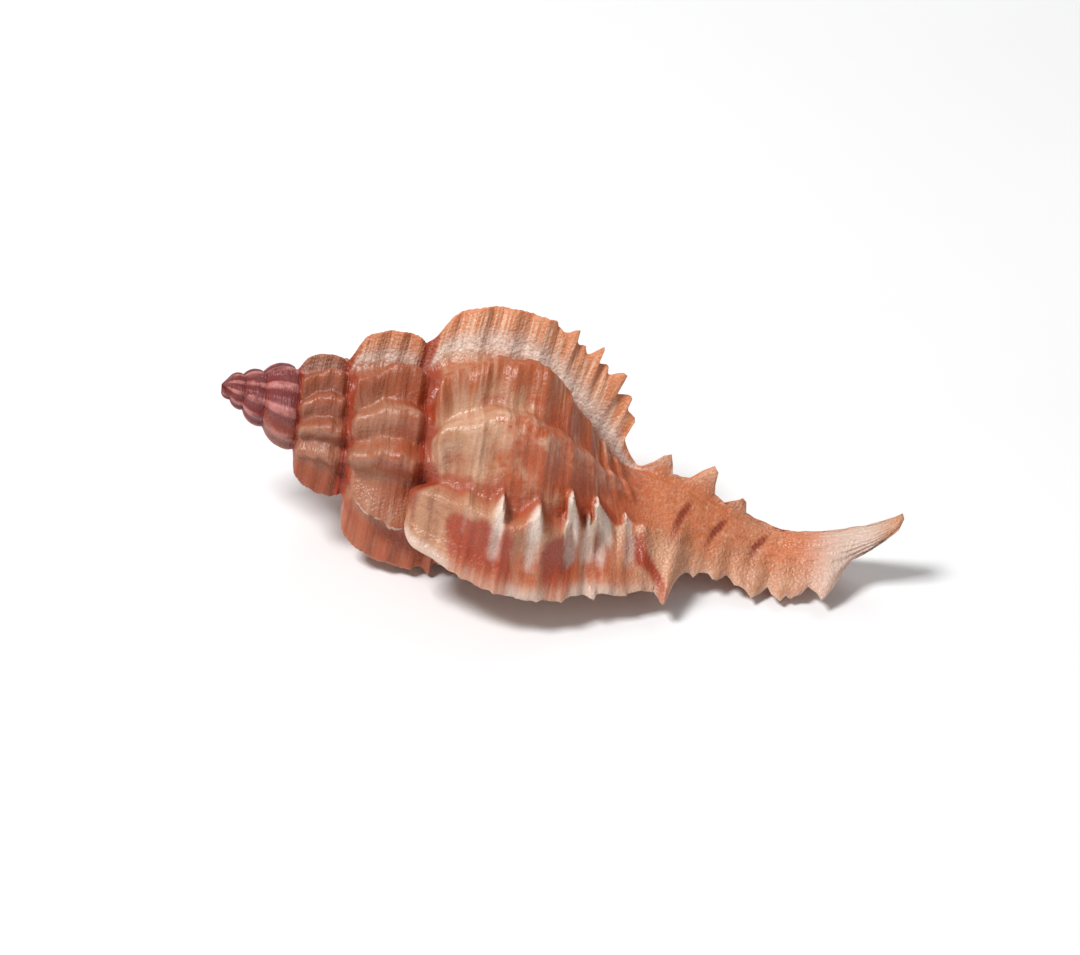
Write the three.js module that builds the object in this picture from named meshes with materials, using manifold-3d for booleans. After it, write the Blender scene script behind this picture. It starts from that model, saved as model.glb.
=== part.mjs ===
// Murex shell: one piece of grown shell, lying on its mouth side.
//
// The shell is a conical spiral. Each whorl repeats the one before it, larger by WHORL_GROWTH, so a single
// whorl outline scaled by the growth gives the whole spire, and the last whorl goes on into the base and the
// siphonal canal. Flared flanges (varices) and rounded ribs cross the whorls. The newest flange is the edge
// of the lip, and behind it the mouth opens into a hollow that winds back into the last whorl.
//
// Shell frame: +X runs along the coiling axis from the apex to the canal. Angles turn about X, with 0 towards
// -Y and 90 towards +Z. Growth turns towards smaller angles. "Age" is the angle of growth before the lip, in
// degrees: 0 at the lip, 360 one whorl earlier. Distances "along" the axis start at the origin of the spiral,
// and "at" is the same distance divided by the growth, so that it means the same place on every whorl. At the
// end the shell is set down as it lies: +Z up, millimetres.
import * as THREE from "three";
import Module from "manifold-3d";

// Driving dimensions, in millimetres and degrees, at the size of the lip
const WHORL_GROWTH = 1.55; // how much larger each whorl is than the one before
const SUTURE = 20; // from the origin of the spiral to the seam where the last whorl starts
const NEXT_SUTURE = SUTURE * WHORL_GROWTH; // where a further whorl would cover this one
const LIP_ANGLE = -14.5; // where the lip stands round the axis
const APEX = 1.34; // from the origin of the spiral to the rounded apex
const CANAL_TIP = 61.1; // from the origin of the spiral to the open end of the canal
const SPIRE_ROWS = [9, 6, 4, 3]; // rows of facets on each whorl of the spire, newest first
const OVERLAP = 2.2; // length over which each whorl rises off the one before it
const STEM_BLEND = 0.8; // softness of the corner between a whorl and the columella
const WALL = 0.9; // thickness of the outer wall at the mouth
const THIN_WALL = 0.4; // share of it that does not thin out towards the older whorls
const CALLUS = 0.3; // glaze laid over the inner wall of the mouth
const MOUTH_DEPTHS = [8, 22, 40, 60, 82, 106, 132]; // ages of the cross-sections of the hollow
const HOLLOW_START = 21.2; // where the hollow starts, next to the seam
const HOLLOW_MIDDLE = 30; // where it is widest
const HOLLOW_GAP = 1.1; // its width where it ends towards the canal
const SLIT = 11; // degrees between the two edges of the slit along the canal
const SLIT_DEPTH = 0.9;
const SLIT_START = 34;
const SLIT_FULL = 40;
const CORD_PITCH = 2.34; // spacing of the main spiral cords
const CORD_HEIGHT = 0.13;
const CORDS_START = 20.4;
const CORDS_END = 41;
const SCALLOP = 0.36; // how far the cords stand out on the edge of a flange
const EARLY_RIBS = 10; // ribs on each whorl before the flanges begin

// How the shell lies, and how far the points it stands on are worn flat
const REST_ROLL = -1.85;
const REST_PITCH = 11.89;
const CONTACT_WEAR = 0.2;

// Flanges by age, with their height against the full one, and the ribs that follow each, counted from it
const VARICES = [
  { age: 0, height: 0.69, ribs: [] },
  { age: 122, height: 1.0, ribs: [24, 59, 91] },
  { age: 233, height: 1.08, ribs: [24, 57, 85] },
  { age: 325, height: 1.05, ribs: [27] },
  { age: 482, height: 1.06, ribs: [26, 58, 88, 119] },
  { age: 593, height: 0.9, ribs: [24, 57, 86] },
  { age: 695, height: 1.08, ribs: [25, 55, 80] },
  { age: 842, height: 0.8, ribs: [25, 56, 88, 116] },
];
const RIB_HEIGHT = 1.9;
const RIB_WIDTH = 10.5;
const FIRST_RIB = 1.35; // the rib next after a flange is this much higher
const EARLY_FULLNESS = 0.28; // how much fuller the whorls before the flanges are
const EARLY_RIB_HEIGHT = 2.1;
const EARLY_END = 900; // age of the first flanges
const EARLY_RUN = 200; // degrees of growth over which the early ribs give way to them
const RIB_FLATTENING = 0.7; // how much a flange flattens a rib that it meets
const FLANGE_FOOT = 0.2; // how far a flange is sunk into the whorl

// Frill across the back slope of the lip: its age, and how much younger its end at the seam is
const FRILL_AGE = 25;
const FRILL_SLANT = 14;
const FRILL_SLANT_END = 22.6;
const FRILL_HEIGHT = 1.9;

// Radius of the whorl between the ribs, by place along the axis
const BODY = curve([20, 6.6], [22, 8.5], [24.5, 9.9], [27, 10.5], [29, 10.6], [31, 10.2], [33, 9.2],
  [35, 7.7], [37, 6], [39, 4.6], [41, 3.4], [44, 1.7], [48, 0]);
// Radius of the edge of a full flange
const FLANGE = curve([20, 11.6], [21.7, 13.7], [23.4, 15], [25.7, 15.9], [28.3, 16.2], [30.9, 16],
  [32.7, 15.3], [34.5, 14.3], [36, 13.4], [37.6, 12.5], [39, 11.3], [40.5, 9], [42, 5.6], [44, 2.2], [47, 0]);
// Radius of the columella and of the canal that goes on from it, which do not grow with the whorl
const STEM = curve([6, 0], [15, 1.5], [24, 2], [30, 2.2], [35, 2.7], [39, 3.1], [42, 2.9], [45, 2.4],
  [49, 1.95], [53, 1.8], [57, 1.65], [59, 1.3], [60.3, 0.9], [61.1, 0.6]);
// Rise of the middle of the canal towards the back of the shell
const BEND = curve([42, 0], [46, -0.4], [49, -0.6], [51.5, -0.5], [54, 0.2], [57, 1.8], [59, 3.5],
  [60.2, 4.9], [61.1, 6.3]);
// Share of the rib height along the axis
const RIB_SHARE = curve([20, 0.5], [22, 0.85], [24, 1], [30, 1], [33, 0.85], [36, 0.5], [39, 0.2], [42, 0]);
// Share of the flange height by the angle past its edge: a slow rise behind it, a steep face in front
const FLANGE_SHARE = curve([-36, 0], [-28, 0.06], [-22, 0.15], [-16, 0.27], [-10, 0.46], [-4, 0.84],
  [0, 1], [2, 0.93], [3.6, 0.55], [5.6, 0.2], [8, 0.05], [11, 0]);
// Share of the frill height by the angle past its crest: a steep face behind it, a slow fall in front
const FRILL_SHARE = curve([-7, 0], [-4, 0.1], [-2.2, 0.5], [-0.9, 0.9], [0, 1], [3, 0.93], [8, 0.72],
  [16, 0.4], [27, 0]);

// Thin blade along the canal that carries the lip on to its end, by distance along the axis
const LIP_BLADE = curve([33.5, 0], [35, 3], [37, 5.2], [39, 5.7], [40.8, 5.7], [42.5, 6.9], [43.6, 4],
  [44.7, 3.6], [46, 2.9], [48, 3.1], [51, 3.6], [54, 3.4], [56.6, 3.1], [58, 0.6], [59.5, 0]);
const BLADE_SPREAD = 0.55; // how much slower the blade falls off behind its edge than a flange
// The flange that runs out along the canal as a low ridge with folded spines
const RIDGE_AGE = 122;
const RIDGE_SPREAD = 0.62;
const RIDGE_AHEAD = 16;
const RIDGE_HEIGHT = 0.6;
const RIDGE_START = 36;
const RIDGE_END = 53;
// Its spines: distance along the axis, height, half width
const CANAL_SPINES = [
  [39.6, 2.1, 1.1],
  [43.5, 3.0, 1.1],
  [47.1, 1.6, 0.9],
];

// Rows of facets on the last whorl: by distance scaled with the whorl, and fixed ones along the canal
const WHORL_ROWS = 18;
const WHORL_ROWS_END = 41;
const CANAL_ROWS_AT_LIP = [42.5, 43.6, 44.7, 46, 48, 50, 52, 54, 56.6, 58, 59.4, 60.4];
const CANAL_ROWS_BEHIND = [38, 39.6, 41.6, 43.5, 45.4, 47.1, 48.7, 51, 54, 57, 59.2, 60.4];

const RADIANS = Math.PI / 180;
const growth = (age) => WHORL_GROWTH ** (-age / 360);
const clamp = (t) => Math.min(1, Math.max(0, t));
const ease = (t) => clamp(t) ** 2 * (3 - 2 * clamp(t));
const ramp = (x, from, to) => ease((x - from) / (to - from));
const bell = (x, width) => Math.exp(-((x / width) ** 2));
const larger = (a, b, blend) => 0.5 * (a + b + Math.hypot(a - b, blend) - blend * 0.3);

// A smooth curve through the given points
function curve(...points) {
  const slope = (i) => {
    const a = points[Math.max(i - 1, 0)];
    const b = points[Math.min(i + 1, points.length - 1)];
    return (b[1] - a[1]) / (b[0] - a[0]);
  };
  return (x) => {
    const end = points.length - 1;
    if (x <= points[0][0]) return points[0][1];
    if (x >= points[end][0]) return points[end][1];
    const i = points.findIndex((p) => p[0] > x) - 1;
    const span = points[i + 1][0] - points[i][0];
    const t = (x - points[i][0]) / span;
    const rise = points[i][1] * (1 - ease(t)) + points[i + 1][1] * ease(t);
    return rise + span * t * (1 - t) * (slope(i) * (1 - t) - slope(i + 1) * t);
  };
}

// A point at a distance along the axis, a radius and an angle, with the canal's bend put in
function place(along, radius, angle) {
  const a = angle * RADIANS;
  return [along, -radius * Math.cos(a), radius * Math.sin(a) + BEND(along)];
}

// Radius of the smooth whorl at an age
const earlier = (age) => ramp(age, EARLY_END, EARLY_END + EARLY_RUN);
function bodyRadius(age, along) {
  const size = growth(age);
  const whorl = size * BODY(along / size) * (1 + EARLY_FULLNESS * earlier(age));
  return larger(whorl, STEM(along), STEM_BLEND);
}

// Height of the ribs, the frill, the cords and the flanges above the smooth whorl
function ornament(age, along) {
  const size = growth(age);
  const at = along / size;
  let share = 0;
  let rib = 0;
  for (const varix of VARICES) {
    const past = varix.age - age;
    share = Math.max(share, varix.height * FLANGE_SHARE(past));
    varix.ribs.forEach((r, k) => {
      rib = Math.max(rib, (k === 0 ? FIRST_RIB : 1) * bell(past - r, RIB_WIDTH));
    });
  }
  const early = earlier(age);
  const earlyRib = EARLY_RIB_HEIGHT * (0.5 + 0.5 * Math.cos(age * RADIANS * EARLY_RIBS));
  rib = RIB_HEIGHT * rib * (1 - early) + early * earlyRib;
  const crest = FRILL_AGE - FRILL_SLANT * ramp(at, FRILL_SLANT_END, FRILL_SLANT_END - 3);
  rib = Math.max(rib, FRILL_HEIGHT * FRILL_SHARE(crest - age));
  const wave = Math.cos((at - SUTURE) * ((2 * Math.PI) / CORD_PITCH));
  const cords = wave * ramp(at, CORDS_START, CORDS_START + 1.5) * ramp(at, CORDS_END, CORDS_END - 3);
  const flange = Math.max(0, FLANGE(at) - BODY(at) - FLANGE_FOOT) * share + share * share * cords * SCALLOP;
  const height = flange + RIB_SHARE(at) * rib * (1 - RIB_FLATTENING * share);
  return size * (height + cords * CORD_HEIGHT * (1 - early));
}

// Height of the blade and the spines along the canal, which do not grow with the whorl
function canalOrnament(age, along) {
  const blade = LIP_BLADE(along) * FLANGE_SHARE(-age * BLADE_SPREAD);
  const past = RIDGE_AGE - age;
  const ridge = past < RIDGE_AHEAD ? FLANGE_SHARE(past * RIDGE_SPREAD) : 0;
  const ends = ramp(along, RIDGE_START, RIDGE_START + 3) * ramp(along, RIDGE_END, RIDGE_END - 6);
  const spines = CANAL_SPINES.map(([middle, height, width]) => height * bell(along - middle, width));
  return Math.max(blade, ridge * Math.max(RIDGE_HEIGHT * ends, ...spines));
}

// Radius of the outside
function outside(age, along) {
  const size = growth(age);
  const canal = age < 360 ? canalOrnament(age, along) : 0;
  const own = bodyRadius(age, along) + Math.max(ornament(age, along), canal);
  const seam = SUTURE * size;
  const fade = clamp(1 - (along - seam) / (OVERLAP * size));
  if (fade === 0) return own;
  // The new whorl starts on the surface of the one it is laid on
  const older = bodyRadius(age + 360, seam) + ornament(age + 360, seam);
  const start = bodyRadius(age, seam) + ornament(age, seam);
  return own + (older - start) * fade * fade;
}

// Ages of the lines of facets along the last whorl, closest together at the flanges and the frill; each older
// whorl repeats them
const COLUMNS_BEHIND = [0, 1.6, 4, 7, 10.5, 15.5, 22];
const COLUMNS_AHEAD = [11, 7, 4.6, 2.6];
const COLUMN_STEP = 6.6;
function columnAges() {
  const ages = new Set([FRILL_AGE, FRILL_AGE + 2.5, FRILL_AGE + 6]);
  const edges = VARICES.filter((v) => v.age < 360).map((v) => v.age);
  edges.forEach((edge, i) => {
    const last = i + 1 === edges.length;
    const from = edge + COLUMNS_BEHIND.at(-1);
    const to = last ? 360 : edges[i + 1] - COLUMNS_AHEAD[0];
    COLUMNS_BEHIND.forEach((d) => ages.add(edge + d));
    const fill = Math.round((to - from) / COLUMN_STEP);
    for (let k = 1; k < fill; k++) ages.add(from + ((to - from) * k) / fill);
    if (!last) COLUMNS_AHEAD.forEach((d) => ages.add(edges[i + 1] - d));
  });
  return [...ages].sort((a, b) => a - b);
}

// Rows of the last whorl at an age, as distances along the axis
function lastWhorlRows(age) {
  const size = growth(age);
  const rows = [];
  const step = (WHORL_ROWS_END - SUTURE) / WHORL_ROWS;
  for (let j = 0; j <= WHORL_ROWS; j++) rows.push(size * (SUTURE + step * j));
  const share = clamp(age / RIDGE_AGE);
  const canal = CANAL_ROWS_AT_LIP.map((x, j) => x + (CANAL_ROWS_BEHIND[j] - x) * share);
  const from = rows[rows.length - 1];
  for (let j = 1; j <= 2; j++) rows.push(from + ((canal[0] - from) * j) / 3);
  return rows.concat(canal);
}

// How far the slit turns the inner edge of the canal away from the lip, in degrees
const slitAt = (along) => SLIT * ramp(along, SLIT_START, SLIT_FULL);

const points = [];
const faces = [];
const add = (p) => points.push(p) - 1;
const outsidePoint = (age, along) => {
  const turned = age <= 360 ? slitAt(along) * ramp(age, 300, 360) : 0;
  return add(place(along, outside(age, along), LIP_ANGLE + age - turned));
};

// Facets between two lines of points, which may share their ends; the shorter crossing is taken each time
function join(left, right) {
  const distance = (a, b) => Math.hypot(...points[a].map((v, k) => v - points[b][k]));
  let i = 0;
  let j = 0;
  while (i < left.length - 1 || j < right.length - 1) {
    const canLeft = i < left.length - 1;
    const canRight = j < right.length - 1;
    const shorter = () => distance(left[i + 1], right[j]) <= distance(left[i], right[j + 1]);
    const stepLeft = canLeft && (!canRight || shorter());
    const face = stepLeft ? [left[i], left[i + 1], right[j]] : [left[i], right[j + 1], right[j]];
    if (new Set(face).size === 3) faces.push(face);
    if (stepLeft) i++;
    else j++;
  }
}

// Outside of the spire: for each column of each whorl, a line of points from its seam to the next whorl's
const ages = columnAges();
const count = ages.length;
const whorls = SPIRE_ROWS.length;
const columnAge = (i) => ages[i % count] + 360 * Math.floor(i / count);
const seams = [];
for (let i = 0; i < count * (whorls + 1); i++) {
  const age = columnAge(i);
  seams.push(outsidePoint(age + 360, SUTURE * growth(age)));
}
const spireLine = (i) => {
  const rows = SPIRE_ROWS[Math.floor(i / count) - 1];
  const step = (NEXT_SUTURE - SUTURE) / rows;
  const age = columnAge(i);
  const line = [seams[i]];
  for (let j = 1; j < rows; j++) line.push(outsidePoint(age, growth(age) * (SUTURE + step * j)));
  return [...line, seams[i - count]];
};
const lines = seams.map((_, i) => (i < count ? null : spireLine(i)));
for (let i = count; i < count * (whorls + 1) - 1; i++) join(lines[i], lines[i + 1]);

// Apex, closed over the first seam
const apex = add([APEX, 0, 0]);
const first = count * whorls;
for (let i = first; i < first + count - 1; i++) join([apex, seams[i]], [apex, seams[i + 1]]);
join([apex, ...lines[first + count - 1]], [apex, seams[first]]);

// Last whorl, from its seam to the open end of the canal
const canalEnd = add(place(CANAL_TIP, 0, 0));
const lastLines = ages.map((age, i) => [
  seams[i],
  ...lastWhorlRows(age).slice(1).map((x) => outsidePoint(age, x)),
  canalEnd,
]);
for (let i = 0; i < count - 1; i++) join(lastLines[i], lastLines[i + 1]);

// Inner edge of the mouth and of the slit, where the last whorl has gone once round
const innerRows = lastWhorlRows(360).filter((x) => x > SUTURE + 0.5);
const innerEdge = [seams[0], ...innerRows.map((x) => outsidePoint(360, x)), canalEnd];
join(lastLines[count - 1], [...lines[count], ...innerEdge.slice(1)]);

// Cross-section of the hollow at an age: its inner side and its outer side, from the seam to the canal
const SECTION_POINTS = 9;
const SECTION_PINCH = 0.35; // how much the two sides draw together at the seam
const SECTION_STEP = 0.05;
function hollowSection(age) {
  const size = growth(age);
  const wall = WALL * (THIN_WALL + (1 - THIN_WALL) * size);
  const outer = (x) => bodyRadius(age, x) - wall;
  const inner = (x) => bodyRadius(age + 360, x) + CALLUS;
  const start = HOLLOW_START * size;
  let end = HOLLOW_MIDDLE * size;
  while (outer(end) - inner(end) > HOLLOW_GAP) end += SECTION_STEP;
  const side = (radius, angle) => {
    const line = [];
    for (let j = 0; j < SECTION_POINTS; j++) {
      const x = start + ((end - start) * j) / (SECTION_POINTS - 1);
      const middle = 0.5 * (outer(x) + inner(x));
      const pinch = j === 0 ? SECTION_PINCH : 0;
      line.push(add(place(x, radius(x) * (1 - pinch) + middle * pinch, LIP_ANGLE + age + angle)));
    }
    return line;
  };
  return { inner: side(inner, 1.5), outer: side(outer, -0.5), end };
}

// Rim of the mouth, in front of the flange of the lip, then the foot of the blade along the slit
const opening = hollowSection(0);
const MOUTH_END = 36; // where the mouth narrows to the slit
const RIM_HEIGHT = 0.5; // of the rim above the whorl, and of the foot of the blade above the stem
const FOOT_HEIGHT = 0.25;
const rimAt = (x) => {
  const mouth = 1 - ramp(x, MOUTH_END, SLIT_FULL);
  const radius = (bodyRadius(0, x) + RIM_HEIGHT) * mouth + (STEM(x) + FOOT_HEIGHT) * (1 - mouth);
  return add(place(x, radius, LIP_ANGLE - 2 - 1.6 * mouth));
};
const rimRows = lastWhorlRows(0).slice(1);
const rim = [seams[0], ...rimRows.map(rimAt), canalEnd];
join(rim, lastLines[0]);
const rimTurn = rimRows.findIndex((x) => x > opening.end) + 2;
const innerTurn = innerRows.findIndex((x) => x > opening.end) + 2;
join(opening.outer, rim.slice(0, rimTurn));
join(innerEdge.slice(0, innerTurn), opening.inner);
faces.push([seams[0], opening.inner[0], opening.outer[0]]);

// Slit along the canal: a groove that ends at the mouth
const floorRows = rimRows.filter((x) => x > opening.end + 0.8);
const floorRadius = (x) => Math.max(STEM(x) - SLIT_DEPTH, 0.3 * STEM(x));
const floor = [...floorRows.map((x) => add(place(x, floorRadius(x), LIP_ANGLE - SLIT / 2))), canalEnd];
join(innerEdge.slice(innerTurn - 1), floor);
join(floor, rim.slice(rimTurn - 1));
const lastOuter = opening.outer.at(-1);
const lastInner = opening.inner.at(-1);
faces.push([rim[rimTurn - 1], lastOuter, floor[0]]);
faces.push([lastOuter, lastInner, floor[0]]);
faces.push([lastInner, innerEdge[innerTurn - 1], floor[0]]);

// Hollow behind the mouth
const sections = [opening, ...MOUTH_DEPTHS.map(hollowSection)];
const ring = ({ inner, outer }) => [...inner, ...[...outer].reverse(), inner[0]];
for (let k = 0; k < sections.length - 1; k++) {
  const [near, far] = [ring(sections[k]), ring(sections[k + 1])];
  for (let j = 0; j < near.length - 1; j++) {
    faces.push([near[j], near[j + 1], far[j]], [near[j + 1], far[j + 1], far[j]]);
  }
}
const deepest = sections[sections.length - 1];
join(deepest.inner, deepest.outer);

// Set the shell down as it lies, and wear its contact points flat
const solids = await Module();
solids.setup();
const { Manifold, Mesh } = solids;
const mesh = new Mesh({
  numProp: 3,
  vertProperties: Float32Array.from(points.flat()),
  triVerts: Uint32Array.from(faces.flat()),
});
mesh.merge();
const lying = new Manifold(mesh).rotate([REST_ROLL, 0, 0]).rotate([0, REST_PITCH, 0]);
const box = lying.boundingBox();
const ground = lying.translate([
  -(box.min[0] + box.max[0]) / 2,
  -(box.min[1] + box.max[1]) / 2,
  -box.min[2] - CONTACT_WEAR,
]);
const shell = ground.trimByPlane([0, 0, 1], 0).getMesh();

const geometry = new THREE.BufferGeometry();
geometry.setAttribute("position", new THREE.BufferAttribute(Float32Array.from(shell.vertProperties), 3));
geometry.setIndex(new THREE.BufferAttribute(Uint32Array.from(shell.triVerts), 1));
geometry.computeVertexNormals();

const material = new THREE.MeshStandardMaterial({ color: "#cf9479", roughness: 0.45, metalness: 0 });
const murex = new THREE.Mesh(geometry, material);
murex.name = "murex_shell";
const group = new THREE.Group();
group.name = "murex";
group.add(murex);
export default group;
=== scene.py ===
"""Murex shell lying on its mouth side: the fine surface, its colours, soft studio light and the camera.

The shell is a conical spiral, drawn by nearly the same outlines as its CAD solid and then given the detail
of a grown shell: spiral cords, fluted flange edges, pointed scales and frills. Lengths in the
outlines are in millimetres of the shell's own frame. +X runs along the coiling axis from the apex to the
canal, and angles turn about X from -Y towards +Z. "Age" is the angle of growth before the lip: 0 at the lip,
360 one whorl earlier. "Along" is the distance along the axis, and "at" is the same distance scaled up to the
size of the lip.
"""

import math

import bpy
import numpy as np
from mathutils import Euler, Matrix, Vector


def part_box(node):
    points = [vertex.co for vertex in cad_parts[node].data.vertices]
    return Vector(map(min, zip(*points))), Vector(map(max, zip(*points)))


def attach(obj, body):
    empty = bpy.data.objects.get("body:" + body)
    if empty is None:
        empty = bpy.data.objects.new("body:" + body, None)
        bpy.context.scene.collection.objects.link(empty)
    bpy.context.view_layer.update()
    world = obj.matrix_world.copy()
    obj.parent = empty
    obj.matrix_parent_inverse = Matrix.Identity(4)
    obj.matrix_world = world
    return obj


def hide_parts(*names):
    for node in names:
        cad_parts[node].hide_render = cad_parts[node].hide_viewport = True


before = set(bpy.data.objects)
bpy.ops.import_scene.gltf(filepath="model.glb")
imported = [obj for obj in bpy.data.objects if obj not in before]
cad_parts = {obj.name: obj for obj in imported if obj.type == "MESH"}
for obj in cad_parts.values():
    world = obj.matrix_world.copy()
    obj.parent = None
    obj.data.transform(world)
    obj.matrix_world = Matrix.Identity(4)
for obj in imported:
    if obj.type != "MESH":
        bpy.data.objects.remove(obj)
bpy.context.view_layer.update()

# Spiral
WHORL_GROWTH = 1.55
SUTURE = 20.0
NEXT_SUTURE = SUTURE * WHORL_GROWTH
LIP_ANGLE = -14.5
APEX = 1.34
CANAL_TIP = 61.1
EARLY_FULLNESS = 0.28
EARLY_RIBS = 10
EARLY_RIB_HEIGHT = 1.4

# Mouth
WALL = 0.9
CALLUS = 0.3
MOUTH_DEPTH = 132
SLIT = 11
SLIT_DEPTH = 0.9

# How the shell lies
REST_ROLL = -1.85
REST_PITCH = 11.89
CONTACT_WEAR = 0.15

# Camera and lights: angles in degrees, lengths in metres
CAMERA_ELEVATION = 35.5
CAMERA_ROLL = 6.5
CAMERA_DISTANCE = 0.6
VIEW_WIDTH = 0.0927
AIM_RIGHT = -0.00181
AIM_UP = -0.00168
LIGHT_DISTANCE = 0.5

# Fineness of the mesh
COLUMNS = 300
SPIRE_ROWS = (50, 32, 20, 12, 8)
BODY_ROWS = 112
NECK_ROWS = 10
CANAL_ROWS = 44
# Where the lines along the last whorl stand closer: age, and how much closer
CLOSER = ((0, 3), (28, 1), (31, 1.6), (122, 3), (233, 2.4), (325, 2.4), (335, 1.5), (360, 3))
SECTION_POINTS = 36
SECTION_STEP = 6

# Flanges: age, height against the full one, and where the ribs that follow it stand
VARICES = (
    (0, 0.69, ()),
    (122, 1.0, (24, 55)),
    (233, 1.08, (24, 57, 85)),
    (325, 1.05, (27,)),
    (482, 1.06, (26, 58, 88)),
    (593, 0.9, (24, 57, 86)),
    (695, 1.08, (25, 55, 80)),
    (842, 0.8, (25, 56, 88, 116)),
)
# Frilled crests between the flanges: age, how much younger the end at the suture is, height, and whether the
# steep side looks back at the older shell
CRESTS = ((25, 14, 2.0, True), (351, 0, 3.0, False))
# Pointed folds along the last frill: place along the axis, degrees they reach back, and their two widths
FOLDS = (
    (24.3, 3, 0.9, 0.6),
    (27.4, 9, 1.2, 0.4),
    (30.7, 8, 1.7, 0.7),
    (33.6, 20, 0.4, 1.3),
    (35.4, 7, 0.35, 0.4),
    (36.2, 18, 0.4, 1.9),
    (39.0, 9, 0.35, 1.0),
)
# Brick red bands on the lip: place along the axis, half width, and drift towards the canal at the lip
BANDS = ((25.9, 2.7, 0.3), (32.9, 1.25, 0.2), (39.8, 0.85, 2.6))
# Degrees a flange reaches behind and ahead of its edge, and the age of the one that runs out on the canal
FLANGE_BEHIND = 36
FLANGE_AHEAD = 11
DORSAL_FLANGE = 122
# Usual height of a crest, the age behind which the last frill has ended, and how far it juts over the suture
CREST_SIZE = 2.2
FRILL_END = 90
LEDGE = 1.8

# Ribs: height, the first after a flange against the others, widths in degrees, and the bend near the suture
RIB_HEIGHT = 2.0
FIRST_RIB = 1.4
RIB_BACK = 8
RIB_FRONT = 12.5
RIB_BEND = 28
LATER_BEND = 0.8
RIB_BEND_END = 27.2
RIB_BEND_RUN = 6.7

# Spiral cords: distance along the axis, height on the whorl, height of its scale on a crest or flange
CORDS = (
    (21.7, 0.08, 0.15),
    (24.6, 0.06, 0.2),
    (27.4, 0.07, 0.25),
    (30.6, 0.1, 0.4),
    (33.7, 0.14, 0.7),
    (36.2, 0.24, 1.4),
    (38.5, 0.3, 1.6),
    (40.4, 0.3, 1.9),
)
# Pointed spines on the flange edges towards the canal: place and length
SPINES = (
    (31.4, 0.35), (33.4, 0.9), (34.9, 0.5), (36.2, 1.5),
    (37.4, 0.8), (38.6, 1.6), (39.9, 1.1), (41.0, 1.3),
)
# Distances between small points, fine cords and threads, and the degrees that a thread runs on
SMALL_TIP = 0.62
FINE_CORD = 0.97
THREAD = 0.46
THREAD_RUN = 30


def curve(*points):
    """A smooth function through given points."""
    xs, ys = np.array(points, float).T
    last = len(xs) - 1
    ahead = np.minimum(np.arange(last + 1) + 1, last)
    behind = np.maximum(np.arange(last + 1) - 1, 0)
    slopes = (ys[ahead] - ys[behind]) / (xs[ahead] - xs[behind])

    def value(x):
        x = np.clip(x, xs[0], xs[-1])
        i = np.clip(np.searchsorted(xs, x, side="right") - 1, 0, last - 1)
        span = xs[i + 1] - xs[i]
        t = (x - xs[i]) / span
        smooth = t * t * (3 - 2 * t)
        rise = ys[i] * (1 - smooth) + ys[i + 1] * smooth
        return rise + span * t * (1 - t) * (slopes[i] * (1 - t) - slopes[i + 1] * t)

    return value


# Outlines at the size of the lip: radius of the plain whorl, and of the flange edge
BODY = curve(
    (20, 6.6), (22, 8.5), (24.5, 9.9), (27, 10.5), (29, 10.6), (31, 10.2), (33, 9.2), (35, 7.7),
    (37, 6), (39, 4.6), (41, 3.4), (44, 1.7), (48, 0),
)
FLANGE = curve(
    (20, 11.6), (21.7, 13.7), (23.4, 15), (25.7, 15.9), (28.3, 16.2), (30.9, 16), (32.7, 15.3),
    (34.5, 14.3), (36, 13.4), (37.6, 12.4), (39, 11), (40.5, 8.9), (42, 5.4), (44, 2.2), (47, 0),
)
# The stem inside the whorls, which becomes the canal: its radius, and how far it bends up
STEM = curve(
    (6, 0), (15, 1.5), (24, 2), (30, 2.2), (35, 2.7), (39, 3.1), (42, 2.9), (45, 2.4), (49, 1.95),
    (53, 1.8), (57, 1.65), (59, 1.3), (60.3, 0.9), (61.1, 0.6),
)
BEND = curve(
    (42, 0), (46, -0.4), (49, -0.6), (51.5, -0.5), (54, 0.2), (57, 1.8), (59, 3.5), (60.2, 4.9),
    (61.1, 6.3),
)
# Height of a rib along the axis, and of a flange and crests by degrees past their edge
RIB_SHARE = curve(
    (20, 0.2), (21, 0.4), (22.5, 0.72), (24.5, 0.94), (26.5, 1), (30, 1), (33, 0.85), (36, 0.55),
    (39, 0.25), (42, 0),
)
FLANGE_SHARE = curve(
    (-36, 0), (-28, 0.05), (-22, 0.13), (-16, 0.24), (-10, 0.43), (-5, 0.73), (-2, 0.92), (0, 1),
    (1, 0.97), (2, 0.76), (3.4, 0.42), (5.4, 0.16), (8, 0.05), (11, 0),
)
CREST_BACK = curve(
    (-7, 0), (-4, 0.1), (-2.2, 0.5), (-0.9, 0.9), (0, 1), (3, 0.93), (8, 0.72), (16, 0.4), (27, 0),
)
CREST_FRONT = curve(
    (-20, 0), (-12, 0.2), (-6, 0.6), (-2, 0.93), (0, 1), (0.9, 0.95), (1.9, 0.5), (3.2, 0.1),
    (5, 0),
)
# Height of the blade along the lip and canal
LIP_BLADE = curve(
    (33.5, 0), (35, 3), (37, 5.2), (39, 5.7), (40.8, 5.6), (41.8, 6.3), (42.5, 7.3), (43, 5),
    (43.6, 3.6), (44.5, 3.5), (46, 2.8), (48, 3.1), (51, 3.6), (54, 3.4), (56.6, 3.1), (57.8, 0.6),
    (59.5, 0),
)
# Spines on the canal: distance along the axis, height and width
CANAL_SPINES = ((39.6, 2.1, 1.0), (43.5, 3.0, 1.0), (47.1, 1.7, 0.8))
# Dark grooves across the canal, and where the canal starts
CANAL_GROOVES = (42.2, 45.6, 49.5)
CANAL_START = 36
# How far the canal spines lean towards the tip, for each millimetre of height
HOOK = 0.3


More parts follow.
